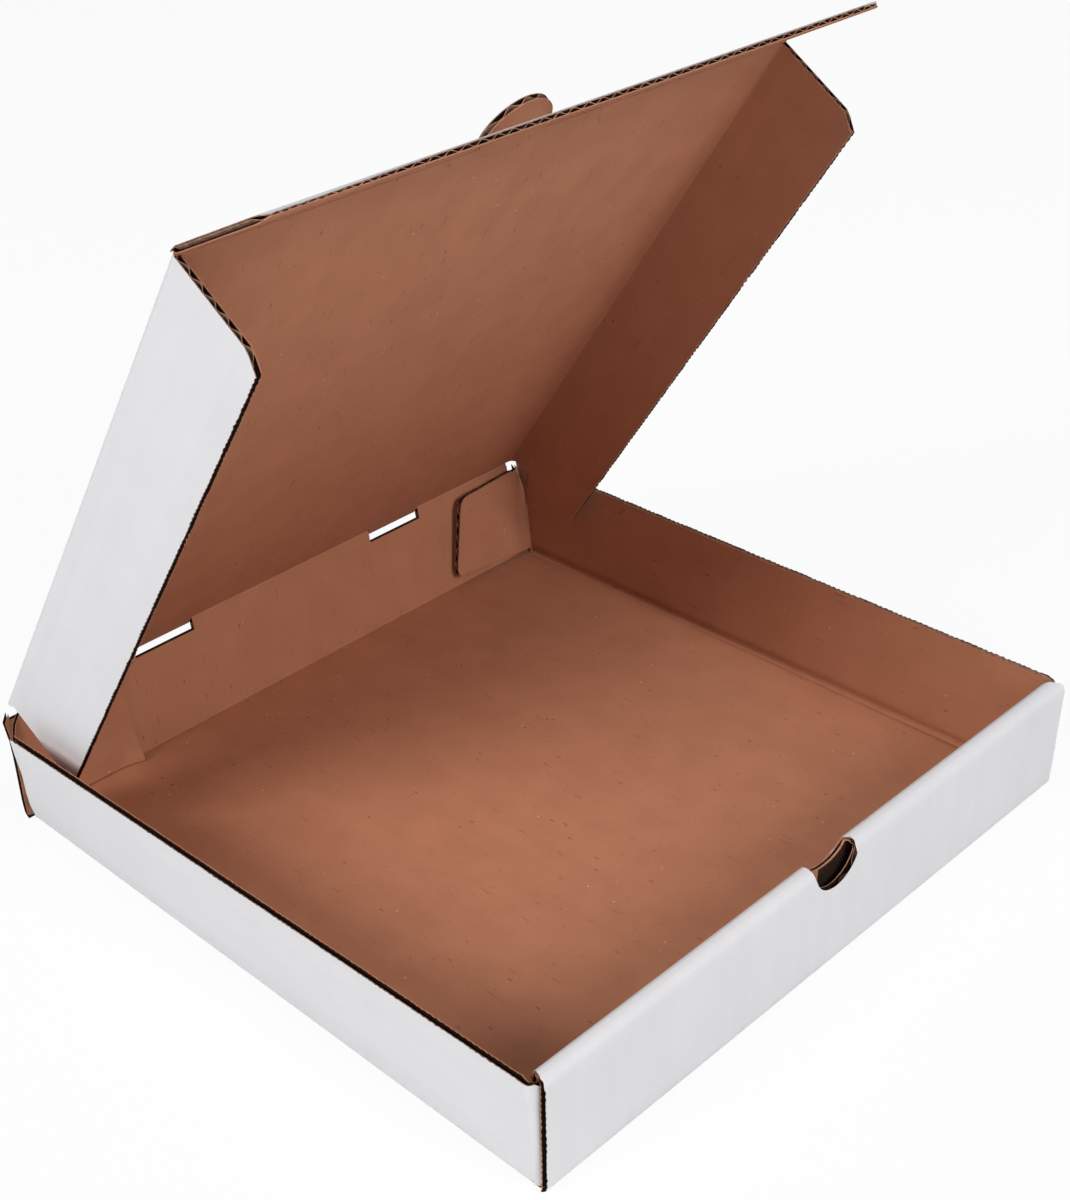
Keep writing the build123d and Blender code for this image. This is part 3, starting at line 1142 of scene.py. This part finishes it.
@dataclass
class Lid:
    """The lid: a panel between two side walls, with its thumb tab and hinge tabs."""

    width: float = 299.0 * MM
    length: float = 293.0 * MM
    wall_depth: float = 47.0 * MM
    edge_gap: float = 1.55 * MM
    wall_front_gap: float = 1.6 * MM
    front_cut: float = 5.0 * MM
    front_cut_height: float = 7.5 * MM
    back_edge: tuple[Pair, ...] = ((0.4, 1.55), (1.3, 1.8), (3.9, 5.0), (47.0, 8.8))
    tab_half_width: float = 16.5 * MM
    tab_height: float = 17.0 * MM
    tab_centre: float = -3.5 * MM
    hinge_tab_reach: float = 3.6 * MM
    panel_wrap: float = 4.0 * MM
    right_flute_gap: float = 0.5 * MM
    across_step: float = 6.0 * MM
    along_step: float = 20.0 * MM
    wall_step: float = 3.0 * MM
    wave_step: float = 8.0 * MM
    fine: float = 0.8 * MM
    layers: Layers = field(default_factory=Layers)

    def build(self, tray: Tray) -> Layers:
        """Lays the lid's panel and its two walls.

        Args:
            tray: the tray, whose slots the hinge tabs lie in.

        Returns:
            The lid's layers.
        """
        half = self.width / 2 - BOARD.half
        line = BentLine([(-half, -self.wall_depth), (-half, 0), (half, 0), (half, -self.wall_depth)],
                        BOARD.fold_radius)
        centre = line.total / 2
        pivot, way = JOINTS.hinge, JOINTS.lid_way
        out = right_of(way)
        front = self.length - self.wall_front_gap

        def place(a: Array, b: Array) -> tuple[Array, Array]:
            """A point of the lid: a round the bent section in (x, n), and b from the hinge.

            Args:
                a: the lengths round the section, from its middle.
                b: the distances from the hinge.

            Returns:
                The points, and the normals there.
            """
            x, n, heading = line.at(a + centre)
            y = pivot[0] + b * way[0] + n * out[0]
            z = pivot[1] + b * way[1] + n * out[1]
            up = np.cos(heading)
            normal = np.stack([-np.sin(heading), up * out[0], up * out[1]], -1)
            return np.stack([x, y, z], -1), normal

        def drop(a: Array) -> Array:
            """How far below the panel's middle a point of the section lies."""
            return -line.at(a + centre)[1]

        def wall_low(a: Array) -> Array:
            """A wall's back edge, which slants away from the hinge as it goes down."""
            return np.interp(drop(a), *columns(self.back_edge))

        def wall_high(a: Array) -> Array:
            """A wall's front edge, with its lower corner cut off."""
            corner = [self.wall_depth - self.front_cut_height, self.wall_depth]
            return np.interp(drop(a), corner, [front, front - self.front_cut])

        reach = tray.slot_width / 2 - BOARD.layer_gap

        def panel_low(a: Array) -> Array:
            """The panel's back edge, with the two tabs that reach past the hinge.

            Args:
                a: the lengths round the section, from its middle.

            Returns:
                The distances from the hinge.
            """
            edge = wall_low(a)
            for middle in tray.slot_middles():
                edge = np.where(np.abs(a - middle) < reach, -self.hinge_tab_reach, edge)
            return edge

        def panel_high(a: Array) -> Array:
            """The panel's front edge, with the half-moon tab.

            Args:
                a: the lengths round the section, from its middle.

            Returns:
                The distances from the hinge.
            """
            tab = half_ellipse(a, self.tab_centre, self.tab_half_width)
            edge = np.minimum(self.length - self.edge_gap, wall_high(a))
            return np.where(tab >= 0, self.length + self.tab_height * tab, edge)

        split = centre - self.panel_wrap - (self.wall_depth - 2 * self.panel_wrap)
        tab = (self.tab_centre - self.tab_half_width, self.tab_centre + self.tab_half_width)
        panel = line.stations(centre - split, centre + split, self.across_step) - centre
        panel = with_steps(panel, [*tab, *tray.beside_slots(reach)], [tab])
        stops = np.array([-self.hinge_tab_reach, self.edge_gap, self.length - self.edge_gap,
                          self.length + self.tab_height])
        Sheet(place, panel, spaced(stops, self.along_step), low=panel_low,
              high=panel_high).lay(self.layers)
        left = run(-centre, -split, self.wall_step)
        along = run(self.edge_gap, front, self.fine)
        shared = {"low": wall_low, "high": wall_high,
                  "wave_along": run(self.edge_gap, front, self.wave_step)}
        Sheet(place, left, along, nibble_left=Edge.LID_LEFT, **shared).lay(self.layers)
        Sheet(place, -left[::-1], along, nibble_right=Edge.LID_RIGHT,
              flute_gap=self.right_flute_gap, **shared).lay(self.layers)
        return self.layers


@dataclass
class FrontFlap:
    """The flap on the lid's front edge, with the half-moon hole that the thumb tab leaves."""

    length: float = 49.0 * MM
    corner: float = 6.0 * MM
    start: float = 1.55 * MM
    hole_gap: float = 0.3 * MM
    edge_crush: float = 0.25
    flat_share: float = 0.35
    edge_crush_width: float = 1.5 * MM
    flat_left: Pair = (75.0 * MM, 125.0 * MM)
    flat_right: Pair = (138.0 * MM, 146.0 * MM)
    flute_gap: float = 0.2 * MM
    across_step: float = 6.0 * MM
    wave_step: float = 3.0 * MM
    fine: float = 0.8 * MM
    layers: Layers = field(default_factory=Layers)

    def build(self, lid: Lid) -> Layers:
        """Lays the flap.

        Args:
            lid: the lid, whose width and thumb tab the flap follows.

        Returns:
            The flap's layers.
        """
        pivot, way = JOINTS.fold, JOINTS.flap_way
        out = right_of(way)
        half = lid.width / 2
        hole = lid.tab_half_width + self.hole_gap

        def place(a: Array, b: Array) -> tuple[Array, Array]:
            """A point of the flap: a along X, and b from the fold."""
            point = np.stack([a, pivot[0] + b * way[0], pivot[1] + b * way[1]], -1)
            return point, np.broadcast_to([0.0, out[0], out[1]], point.shape)

        def low(a: Array) -> Array:
            """The flap's fold edge, raised round the half-moon hole."""
            moon = half_ellipse(a, lid.tab_centre, hole) * (lid.tab_height + self.hole_gap)
            return np.maximum(self.start, moon)

        def high(a: Array) -> Array:
            """The flap's free edge, with its two corners rounded."""
            inward = np.clip(np.abs(a) - (half - self.corner), 0.0, self.corner)
            return self.length - self.corner + np.sqrt(self.corner**2 - inward**2)

        def squeeze(a: Array, b: Array) -> Array:
            """The board's thickness as a share: less along its free edge, least near its ends.

            Args:
                a: the places along X.
                b: the distances from the fold.

            Returns:
                1 less a bell curve at the free edge, which is deeper where the edge is flat.
            """
            flat = np.interp(-a, self.flat_left, (0, 1)) + np.interp(a, self.flat_right, (0, 1))
            depth = self.edge_crush + self.flat_share * flat
            return 1 - depth * bell(self.length - b, self.edge_crush_width)

        moon = (lid.tab_centre - hole, lid.tab_centre + hole)
        corners = [(-half, -half + self.corner), (half - self.corner, half)]
        across = with_steps(run(-half, half, self.across_step), [], [moon, *corners])
        Sheet(place, across, run(self.start, self.length, self.fine), low=low, high=high,
              nibble_left=Edge.FLAP_LEFT, nibble_right=Edge.FLAP_RIGHT, crush=squeeze,
              flute_gap=self.flute_gap,
              wave_along=run(self.start, self.length, self.wave_step)).lay(self.layers)
        return self.layers


@dataclass
class Crease:
    """The board that bends at a joint: a short bent line across the fold, in stretches along X."""

    pivot: Array
    before: Array
    after: Array
    reach_before: float
    reach_after: float
    stretches: Sequence[Pair]
    crush: float = 0.35
    across_step: float = 8.0 * MM
    along_step: float = 0.4 * MM
    grip: float = 0.9
    layers: Layers = field(default_factory=Layers)

    def build(self) -> Layers:
        """Lays the crease's papers.

        Returns:
            The crease's layers.
        """
        corners = [self.pivot - self.before * self.reach_before, self.pivot,
                   self.pivot + self.after * self.reach_after]
        line = BentLine([tuple(c) for c in corners], BOARD.fold_radius / 2)

        def place(a: Array, b: Array) -> tuple[Array, Array]:
            """A point of the crease: a along X, and b along the bent line in (y, z).

            Args:
                a: the places along X.
                b: the lengths along the line.

            Returns:
                The points, and the normals there, which are to the right of the line's way.
            """
            y, z, heading = line.at(b)
            return np.stack([a, y, z], -1), line_normal(heading)

        crush = crease_crush([line.total / 2], self.crush)
        along = line.stations(0, line.total, self.along_step)
        for low, high in self.stretches:
            across = run(low, high, self.across_step)
            Sheet(place, across, along, crush=crush, fluted=False).lay(self.layers)
        return self.layers

    def ends(self) -> tuple[Point, Point]:
        """The points between which the crease turns from one body to the other.

        Returns:
            A point on the body before the fold, and one on the body after it.
        """
        start = self.pivot - self.before * self.reach_before * self.grip
        end = self.pivot + self.after * self.reach_after * self.grip
        return (0.0, float(start[0]), float(start[1])), (0.0, float(end[0]), float(end[1]))


@dataclass(frozen=True)
class Tone:
    """How a pattern colours a paper: from nothing at low to all of its share at high."""

    low: float
    high: float
    share: float


@dataclass(frozen=True)
class Noise:
    """Fractal noise on a paper: its scales, and its shares of the tone, the bumps and the roughness.

    Two scales are across and along the flutes, and one is that of the body.
    """

    scales: tuple[float, ...]
    tone: Tone
    height: float = 0.0
    rough: float = 0.0
    detail: float = 3.0
    roughness: float = 0.5


@dataclass(frozen=True)
class Marks:
    """Scattered marks on a paper, one in each cell whose number is rare.

    The scales are as for a noise, and the rim is the two distances from a cell's point between
    which a mark fades in.
    """

    scales: tuple[float, ...]
    rim: Pair
    rare: Pair
    share: float
    colour: Colour


class Signal:
    """A number socket in a material, with the arithmetic that shader maths needs."""

    def __init__(self, graph: "Graph", socket: bpy.types.NodeSocket) -> None:
        """Keeps the graph that new nodes go in, and the socket that holds the value."""
        self.graph = graph
        self.socket = socket

    def maths(self, operation: str, *inputs: "Signal | float") -> "Signal":
        """The result of a Math node over some inputs."""
        node = self.graph.node("ShaderNodeMath", {"operation": operation}, dict(enumerate(inputs)))
        return Signal(self.graph, node.outputs[0])

    def __add__(self, other: "Signal | float") -> "Signal":
        """Self plus the other."""
        return self.maths("ADD", self, other)

    def __radd__(self, other: float) -> "Signal":
        """The other plus self."""
        return self.maths("ADD", other, self)

    def __sub__(self, other: "Signal | float") -> "Signal":
        """Self less the other."""
        return self.maths("SUBTRACT", self, other)

    def __rsub__(self, other: float) -> "Signal":
        """The other less self."""
        return self.maths("SUBTRACT", other, self)

    def __mul__(self, other: "Signal | float") -> "Signal":
        """Self times the other."""
        return self.maths("MULTIPLY", self, other)

    def __rmul__(self, other: float) -> "Signal":
        """The other times self."""
        return self.maths("MULTIPLY", other, self)

    def over(self, low: float, high: float) -> "Signal":
        """A smooth step of the number.

        Args:
            low: where the step is 0.
            high: where it is 1, which may be less than low.

        Returns:
            The step.
        """
        node = self.graph.node("ShaderNodeMapRange", {"interpolation_type": "SMOOTHSTEP"},
                               {"Value": self, "From Min": low, "From Max": high})
        return Signal(self.graph, node.outputs["Result"])

    def toned(self, tone: Tone) -> "Signal":
        """How strongly the number shows as a tone."""
        return self.over(tone.low, tone.high) * tone.share


class Graph:
    """One material's nodes."""

    def __init__(self, name: str) -> None:
        """Makes the material, with no nodes yet."""
        self.material = bpy.data.materials.new(name)
        self.material.use_nodes = True
        self.material.node_tree.nodes.clear()

    def node(self, kind: str, settings: dict | None = None,
             values: dict | None = None) -> bpy.types.Node:
        """Adds a node.

        Args:
            kind: the node's type.
            settings: its properties, which are set first.
            values: its inputs by name or number: a Signal or socket is linked, and a value is set.

        Returns:
            The node.
        """
        made = self.material.node_tree.nodes.new(kind)
        for name, value in (settings or {}).items():
            setattr(made, name, value)
        for name, value in (values or {}).items():
            target = made.inputs[name]
            source = value.socket if isinstance(value, Signal) else value
            if isinstance(source, bpy.types.NodeSocket):
                self.material.node_tree.links.new(source, target)
            else:
                target.default_value = source
        return made

    def place(self, scales: tuple[float, ...]) -> bpy.types.NodeSocket:
        """The place in the body, or on the sheet of board, scaled.

        Args:
            scales: one scale of the body, or two of the sheet: across and along the flutes.

        Returns:
            The socket with the scaled place.
        """
        if len(scales) == 1:
            values = {0: self.node("ShaderNodeTexCoord").outputs["Object"], "Scale": scales[0]}
            return self.node("ShaderNodeVectorMath", {"operation": "SCALE"}, values).outputs[0]
        uv = self.node("ShaderNodeUVMap", {"uv_map": "sheet"})
        values = {0: uv.outputs[0], 1: (*scales, 0.0)}
        return self.node("ShaderNodeVectorMath", {"operation": "MULTIPLY"}, values).outputs[0]

    def noise(self, noise: Noise) -> Signal:
        """Fractal noise, from 0 to 1.

        Args:
            noise: its scales, detail and roughness.

        Returns:
            The noise.
        """
        values = {"Vector": self.place(noise.scales), "Scale": 1.0, "Detail": noise.detail,
                  "Roughness": noise.roughness}
        return Signal(self, self.node("ShaderNodeTexNoise", {}, values).outputs["Fac"])

    def marked(self, colour: bpy.types.NodeSocket, marks: Marks) -> bpy.types.NodeSocket:
        """A colour with scattered marks over it.

        Args:
            colour: the colour under them.
            marks: the marks.

        Returns:
            The socket with the new colour.
        """
        cells = self.node("ShaderNodeTexVoronoi", {}, {"Vector": self.place(marks.scales), "Scale": 1.0})
        near = Signal(self, cells.outputs["Distance"]).over(*marks.rim)
        shown = near * self.red(cells.outputs["Color"]).over(*marks.rare)
        return self.mix(shown * marks.share, colour, marks.colour)

    def red(self, colour: bpy.types.NodeSocket) -> Signal:
        """A colour's red, as a number."""
        node = self.node("ShaderNodeSeparateColor", {}, {"Color": colour})
        return Signal(self, node.outputs[0])

    def mix(self, share: Signal | float, first: object, second: object) -> bpy.types.NodeSocket:
        """A colour between two others."""
        node = self.node("ShaderNodeMix", {"data_type": "RGBA"}, {0: share, 6: first, 7: second})
        return node.outputs[2]

    def bump(self, height: Signal, distance: float, strength: float) -> bpy.types.NodeSocket:
        """A normal tilted by a height."""
        values = {"Height": height, "Distance": distance, "Strength": strength}
        return self.node("ShaderNodeBump", {}, values).outputs[0]

    def finish(self, colour: object, roughness: Signal | float, normal: bpy.types.NodeSocket,
               specular: float) -> bpy.types.Material:
        """Joins the parts into a principled shader.

        Args:
            colour: the base colour.
            roughness: how rough the surface is.
            normal: the socket of its normal.
            specular: its specular level.

        Returns:
            The material.
        """
        shader = self.node("ShaderNodeBsdfPrincipled", {},
                           {"Base Color": colour, "Roughness": roughness, "Normal": normal,
                            "Specular IOR Level": specular})
        self.node("ShaderNodeOutputMaterial", {}, {0: shader.outputs[0]})
        return self.material


@dataclass(frozen=True)
class Finish:
    """A finish of paper: noises between two colours, with marks over them, and a bumpy normal."""

    name: str
    colour: Colour
    second: Colour
    noises: tuple[Noise, ...]
    bump_distance: float
    bump_strength: float
    roughness: float
    specular: float = 0.2
    marks: tuple[Marks, ...] = ()

    def build(self) -> bpy.types.Material:
        """Makes the material.

        Each noise adds its shares to the tone between the two colours, to the height of the bumps
        and to the roughness.

        Returns:
            The material.
        """
        graph = Graph(self.name)
        signals = [(graph.noise(noise), noise) for noise in self.noises]
        tones = [signal.toned(noise.tone) for signal, noise in signals]
        heights = [signal * noise.height for signal, noise in signals if noise.height]
        colour = graph.mix(sum(tones[1:], tones[0]), self.colour, self.second)
        for marks in self.marks:
            colour = graph.marked(colour, marks)
        height = sum(heights[1:], heights[0])
        normal = graph.bump(height, self.bump_distance, self.bump_strength)
        roughness = self.roughness
        for signal, noise in signals:
            if noise.rough:
                roughness = roughness + signal * noise.rough
        return graph.finish(colour, roughness, normal, self.specular)


STRAND: Colour = (0.13, 0.05, 0.03, 1.0)
PALE_SPECK: Colour = (0.85, 0.50, 0.33, 1.0)


@dataclass(frozen=True)
class Kraft(Finish):
    """Brown test paper: fine fibres along the flutes, short dark strands, and a few specks."""

    name: str = "kraft_paper"
    colour: Colour = (0.480, 0.210, 0.119, 1.0)
    second: Colour = (0.400, 0.168, 0.092, 1.0)
    noises: tuple[Noise, ...] = (
        Noise((55.0,), Tone(0.3, 0.7, 0.4)),
        Noise((2600.0, 420.0), Tone(0.35, 0.75, 0.35), height=1.4, rough=0.15, roughness=0.6),
        Noise((145.0, 6.0), Tone(0.35, 0.7, 0.12), height=1.0, detail=1.0),
    )
    bump_distance: float = 0.14 * MM
    bump_strength: float = 0.5
    roughness: float = 0.72
    marks: tuple[Marks, ...] = (
        Marks((1100.0, 170.0), (0.30, 0.14), (0.93, 0.94), 0.34, STRAND),
        Marks((700.0, 75.0), (0.30, 0.14), (0.965, 0.975), 0.34, STRAND),
        Marks((520.0, 190.0), (0.30, 0.14), (0.965, 0.975), 0.5, STRAND),
        Marks((210.0,), (0.13, 0.06), (0.90, 0.93), 0.55, PALE_SPECK),
        Marks((120.0,), (0.08, 0.05), (0.92, 0.95), 0.8, STRAND),
    )


@dataclass(frozen=True)
class White(Finish):
    """The white outer paper: faint flute ribs and a little haze."""

    name: str = "white_paper"
    colour: Colour = (0.740, 0.738, 0.750, 1.0)
    second: Colour = (0.705, 0.702, 0.715, 1.0)
    noises: tuple[Noise, ...] = (
        Noise((38.0,), Tone(0.35, 0.7, 0.4)),
        Noise((145.0, 3.0), Tone(0.35, 0.7, 0.4), height=2.0, detail=1.0),
        Noise((1500.0, 500.0), Tone(0.4, 0.7, 0.2), height=0.5, rough=0.15, roughness=0.6),
    )
    bump_distance: float = 0.1 * MM
    bump_strength: float = 0.4
    roughness: float = 0.5
    specular: float = 0.3


@dataclass(frozen=True)
class RawEdge(Finish):
    """The cut edges of the papers and the fluting: rough brown fibres, pale where they are torn."""

    name: str = "raw_edge"
    colour: Colour = (0.27, 0.135, 0.090, 1.0)
    second: Colour = (0.58, 0.38, 0.27, 1.0)
    noises: tuple[Noise, ...] = (
        Noise((420.0,), Tone(0.35, 0.75, 0.5), height=1.0),
        Noise((1700.0,), Tone(0.5, 0.8, 0.3), height=1.0, detail=2.0),
    )
    bump_distance: float = 0.2 * MM
    bump_strength: float = 0.6
    roughness: float = 0.85


@dataclass(frozen=True)
class PaintedShade(Finish):
    """Painted shade: the papers' inner sides, some cut rims and the inner panel past the notch in
    near-black, which show only as the dark between the flutes and in the front wall's cavity.
    """

    name: str = "painted_shade_paper"
    colour: Colour = (0.014, 0.006, 0.004, 1.0)
    second: Colour = (0.036, 0.016, 0.010, 1.0)
    noises: tuple[Noise, ...] = (
        Noise((1500.0, 500.0), Tone(0.3, 0.7, 1.0), height=1.0, roughness=0.6),
    )
    bump_distance: float = 0.1 * MM
    bump_strength: float = 0.5
    roughness: float = 0.9


def put(name: str, data: bpy.types.ID) -> bpy.types.Object:
    """Puts a new object of some data in the scene."""
    made = bpy.data.objects.new(name, data)
    bpy.context.scene.collection.objects.link(made)
    return made


@dataclass(frozen=True)
class Finishes:
    """The four finishes, and the pieces that they dress."""

    white: bpy.types.Material
    kraft: bpy.types.Material
    raw: bpy.types.Material
    painted_shade: bpy.types.Material

    def dress(self, layers: Layers, name: str, fluted: bool = True) -> list[bpy.types.Object]:
        """Makes the pieces of some layers of board, and logs the size of each.

        Args:
            layers: the layers.
            name: what the pieces' names start with.
            fluted: whether there is any fluting.

        Returns:
            The outer paper, the inner paper and the fluting, if there is any.
        """
        parts = [("outer_paper", layers.outer, self.white), ("inner_paper", layers.inner, self.kraft)]
        if fluted:
            parts.append(("fluting", layers.fluting, self.raw))
        pieces = []
        for part, pile, skin in parts:
            piece = put(f"{name}_{part}", pile.mesh(f"{name}_{part}"))
            for finish in (skin, self.raw, self.painted_shade):
                piece.data.materials.append(finish)
            points, faces = len(piece.data.vertices), len(piece.data.polygons)
            LOG.info("%s: %d points, %d faces", piece.name, points, faces)
            pieces.append(piece)
        return pieces


@dataclass(frozen=True)
class Camera:
    """The camera, where the photo was taken from."""

    place: Point = (-0.46833, -0.47847, 0.50148)
    turn_degrees: Point = (59.7288, 2.3817, -44.7467)
    lens: float = 58.583
    shift: Pair = (0.03237, -0.01998)

    def build(self) -> None:
        """Makes the camera and sets it as the scene's."""
        data = bpy.data.cameras.new("camera")
        data.lens = self.lens
        data.shift_x, data.shift_y = self.shift
        made = put("camera", data)
        made.location = self.place
        made.rotation_euler = [math.radians(angle) for angle in self.turn_degrees]
        bpy.context.scene.camera = made


@dataclass(frozen=True)
class Lamp:
    """A soft round lamp that points at the middle of the box."""

    name: str
    place: Point
    size: float
    power: float
    tint: Point = (1.05, 0.99, 0.955)
    target: Point = (0.0, 0.0, 0.1)

    def build(self) -> None:
        """Makes the lamp."""
        data = bpy.data.lights.new(self.name, "AREA")
        data.shape = "DISK"
        data.size = self.size
        data.energy = self.power
        data.color = self.tint
        made = put(self.name, data)
        made.location = self.place
        way = Vector(self.target) - made.location
        made.rotation_euler = way.to_track_quat("-Z", "Y").to_euler()


@dataclass(frozen=True)
class Studio:
    """A plain pale floor under an even white sky, with soft lamps on the camera's side."""

    floor_size: float = 12.0
    floor_grey: Colour = (0.86, 0.86, 0.86, 1.0)
    white: Colour = (1.0, 1.0, 1.0, 1.0)
    sky: float = 0.11
    sky_tint: Point = (0.45, 1.0, 1.4)
    floor_share: float = 0.93
    floor_drop: float = 0.4 * MM
    lamps: tuple[Lamp, ...] = (
        Lamp("left", (-1.9, 0.25, 1.35), 1.0, 30.5),
        Lamp("front", (0.2, -2.0, 1.4), 1.0, 27.0),
        Lamp("top", (0.1, -0.9, 2.6), 0.8, 14.0),
        Lamp("near", (-1.6, -1.6, 0.7), 1.0, 4.0),
    )

    def build(self) -> None:
        """Makes the floor, the sky and the lamps."""
        graph = Graph("floor")
        ray = graph.node("ShaderNodeLightPath").outputs["Is Camera Ray"]
        diffuse = graph.node("ShaderNodeBsdfDiffuse", {}, {"Color": self.floor_grey})
        glow = graph.node("ShaderNodeEmission", {}, {"Color": self.white, "Strength": 1.0})
        share = Signal(graph, ray) * self.floor_share
        mixed = graph.node("ShaderNodeMixShader", {},
                           {0: share, 1: diffuse.outputs[0], 2: glow.outputs[0]})
        graph.node("ShaderNodeOutputMaterial", {}, {0: mixed.outputs[0]})
        half = self.floor_size / 2
        mesh = bpy.data.meshes.new("floor")
        corners = [(-half, -half), (half, -half), (half, half), (-half, half)]
        mesh.from_pydata([(x, y, -self.floor_drop) for x, y in corners], [], [(0, 1, 2, 3)])
        mesh.materials.append(graph.material)
        put("floor", mesh)
        for lamp in self.lamps:
            lamp.build()
        self.light_sky()

    def light_sky(self) -> None:
        """Sets a sky that is white to the camera and dimmer as a light."""
        world = bpy.data.worlds.new("studio")
        world.use_nodes = True
        nodes = world.node_tree.nodes
        ray = nodes.new("ShaderNodeLightPath")
        colour = nodes.new("ShaderNodeMix")
        colour.data_type = "RGBA"
        colour.inputs[6].default_value = (*(self.sky * part for part in self.sky_tint), 1.0)
        colour.inputs[7].default_value = self.white
        world.node_tree.links.new(ray.outputs["Is Camera Ray"], colour.inputs[0])
        world.node_tree.links.new(colour.outputs[2], nodes["Background"].inputs["Color"])
        bpy.context.scene.world = world
        bpy.context.scene.view_settings.view_transform = "Standard"


def crease_stretches(edges: Sequence[float], half: float) -> list[Pair]:
    """The stretches of a width from -half to half that are left between pairs of edges."""
    stops = [-half, *edges, half]
    return list(zip(stops[::2], stops[1::2]))


def hinge_crease(tray: Tray, lid: Lid) -> Crease:
    """The crease between the back wall and the lid, in stretches between the hinge slots.

    Args:
        tray: the tray.
        lid: the lid.

    Returns:
        The crease.
    """
    wall_way = JOINTS.hinge - np.array([tray.depth / 2 - BOARD.half, BOARD.half])
    wall_way = wall_way / np.linalg.norm(wall_way)
    slots = tray.beside_slots(tray.slot_width / 2)
    stretches = crease_stretches(slots, lid.width / 2 - BOARD.thickness - tray.hinge_end_gap)
    return Crease(JOINTS.hinge, wall_way, JOINTS.lid_way, tray.hinge_margin, lid.edge_gap, stretches)


def flap_crease(lid: Lid, flap: FrontFlap) -> Crease:
    """The crease between the lid and the front flap, in stretches beside the half-moon hole.

    Args:
        lid: the lid.
        flap: the front flap.

    Returns:
        The crease.
    """
    hole = lid.tab_half_width + flap.hole_gap
    stretches = crease_stretches([lid.tab_centre - hole, lid.tab_centre + hole], lid.width / 2)
    return Crease(JOINTS.fold, JOINTS.lid_way, JOINTS.flap_way, lid.edge_gap, flap.start, stretches)


def main() -> None:
    """Builds the box, the studio and the camera."""
    logging.basicConfig(level=logging.INFO, format="%(message)s")
    tray, lid, flap = Tray(), Lid(), FrontFlap()
    kraft, white, raw, painted_shade = Kraft().build(), White().build(), RawEdge().build(), PaintedShade().build()
    finishes = Finishes(white, kraft, raw, painted_shade)
    bodies = (("tray", "tray_board", tray.build()), ("lid", "lid_board", lid.build(tray)),
              ("front_flap", "flap_board", flap.build(lid)))
    for node, slot, layers in bodies:
        pieces = finishes.dress(layers, node)
        for piece in pieces:
            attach(piece, node)
        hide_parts(node)
    creases = (("hinge_crease", hinge_crease(tray, lid), ("tray", "lid"), "tray_board"),
               ("flap_crease", flap_crease(lid, flap), ("lid", "front_flap"), "lid_board"))
    for name, crease, pair, slot in creases:
        for piece in finishes.dress(crease.build(), name, fluted=False):
            crease.ends()
            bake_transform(piece)
    Studio().build()
    Camera().build()


if __name__ == "__main__":
    main()
